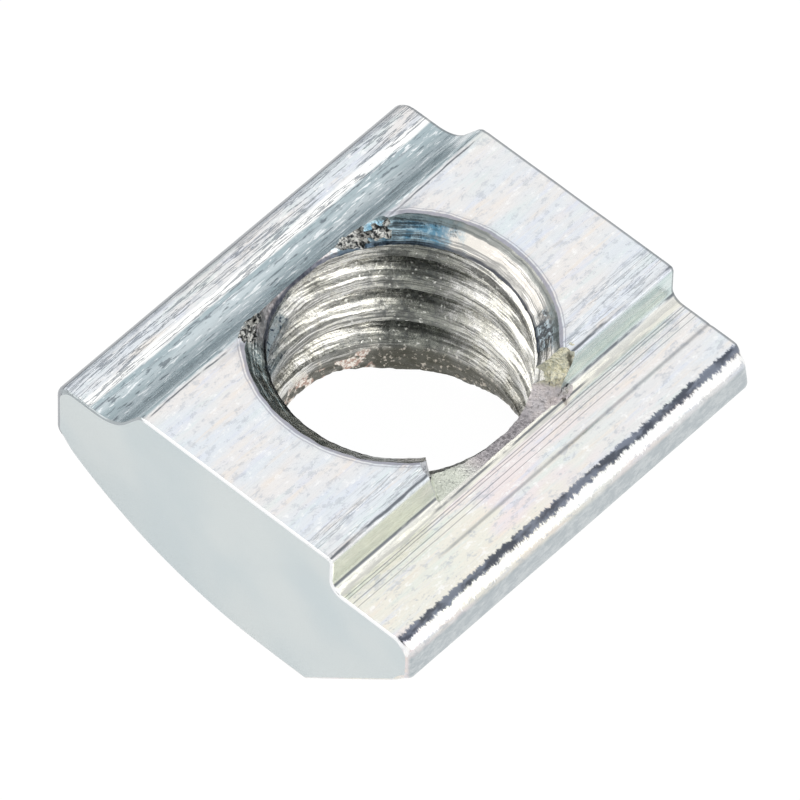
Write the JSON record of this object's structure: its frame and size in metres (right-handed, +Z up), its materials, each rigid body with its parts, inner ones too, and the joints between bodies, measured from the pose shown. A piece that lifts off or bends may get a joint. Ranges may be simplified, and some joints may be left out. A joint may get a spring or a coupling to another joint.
{
  "type": "t slot nut",
  "caption": "Zinc-plated steel slide-in nut for a T slot, with a raised rib, rounded swing-in underside and a tapped bore",
  "frame": {"origin": "on the bore axis, at the height of the flat underside", "axes": "+X across the drawn section towards the side with the straight flank, +Y along the drawn length, +Z up the bore towards the rib"},
  "size_m": [0.0091, 0.0096, 0.0043],
  "materials": {
    "zinc_plate": "bright blue-white zinc plate over drawn and sawn steel"
  },
  "bodies": {
    "root": {"nut_body": "zinc_plate"}
  },
  "joints": []
}
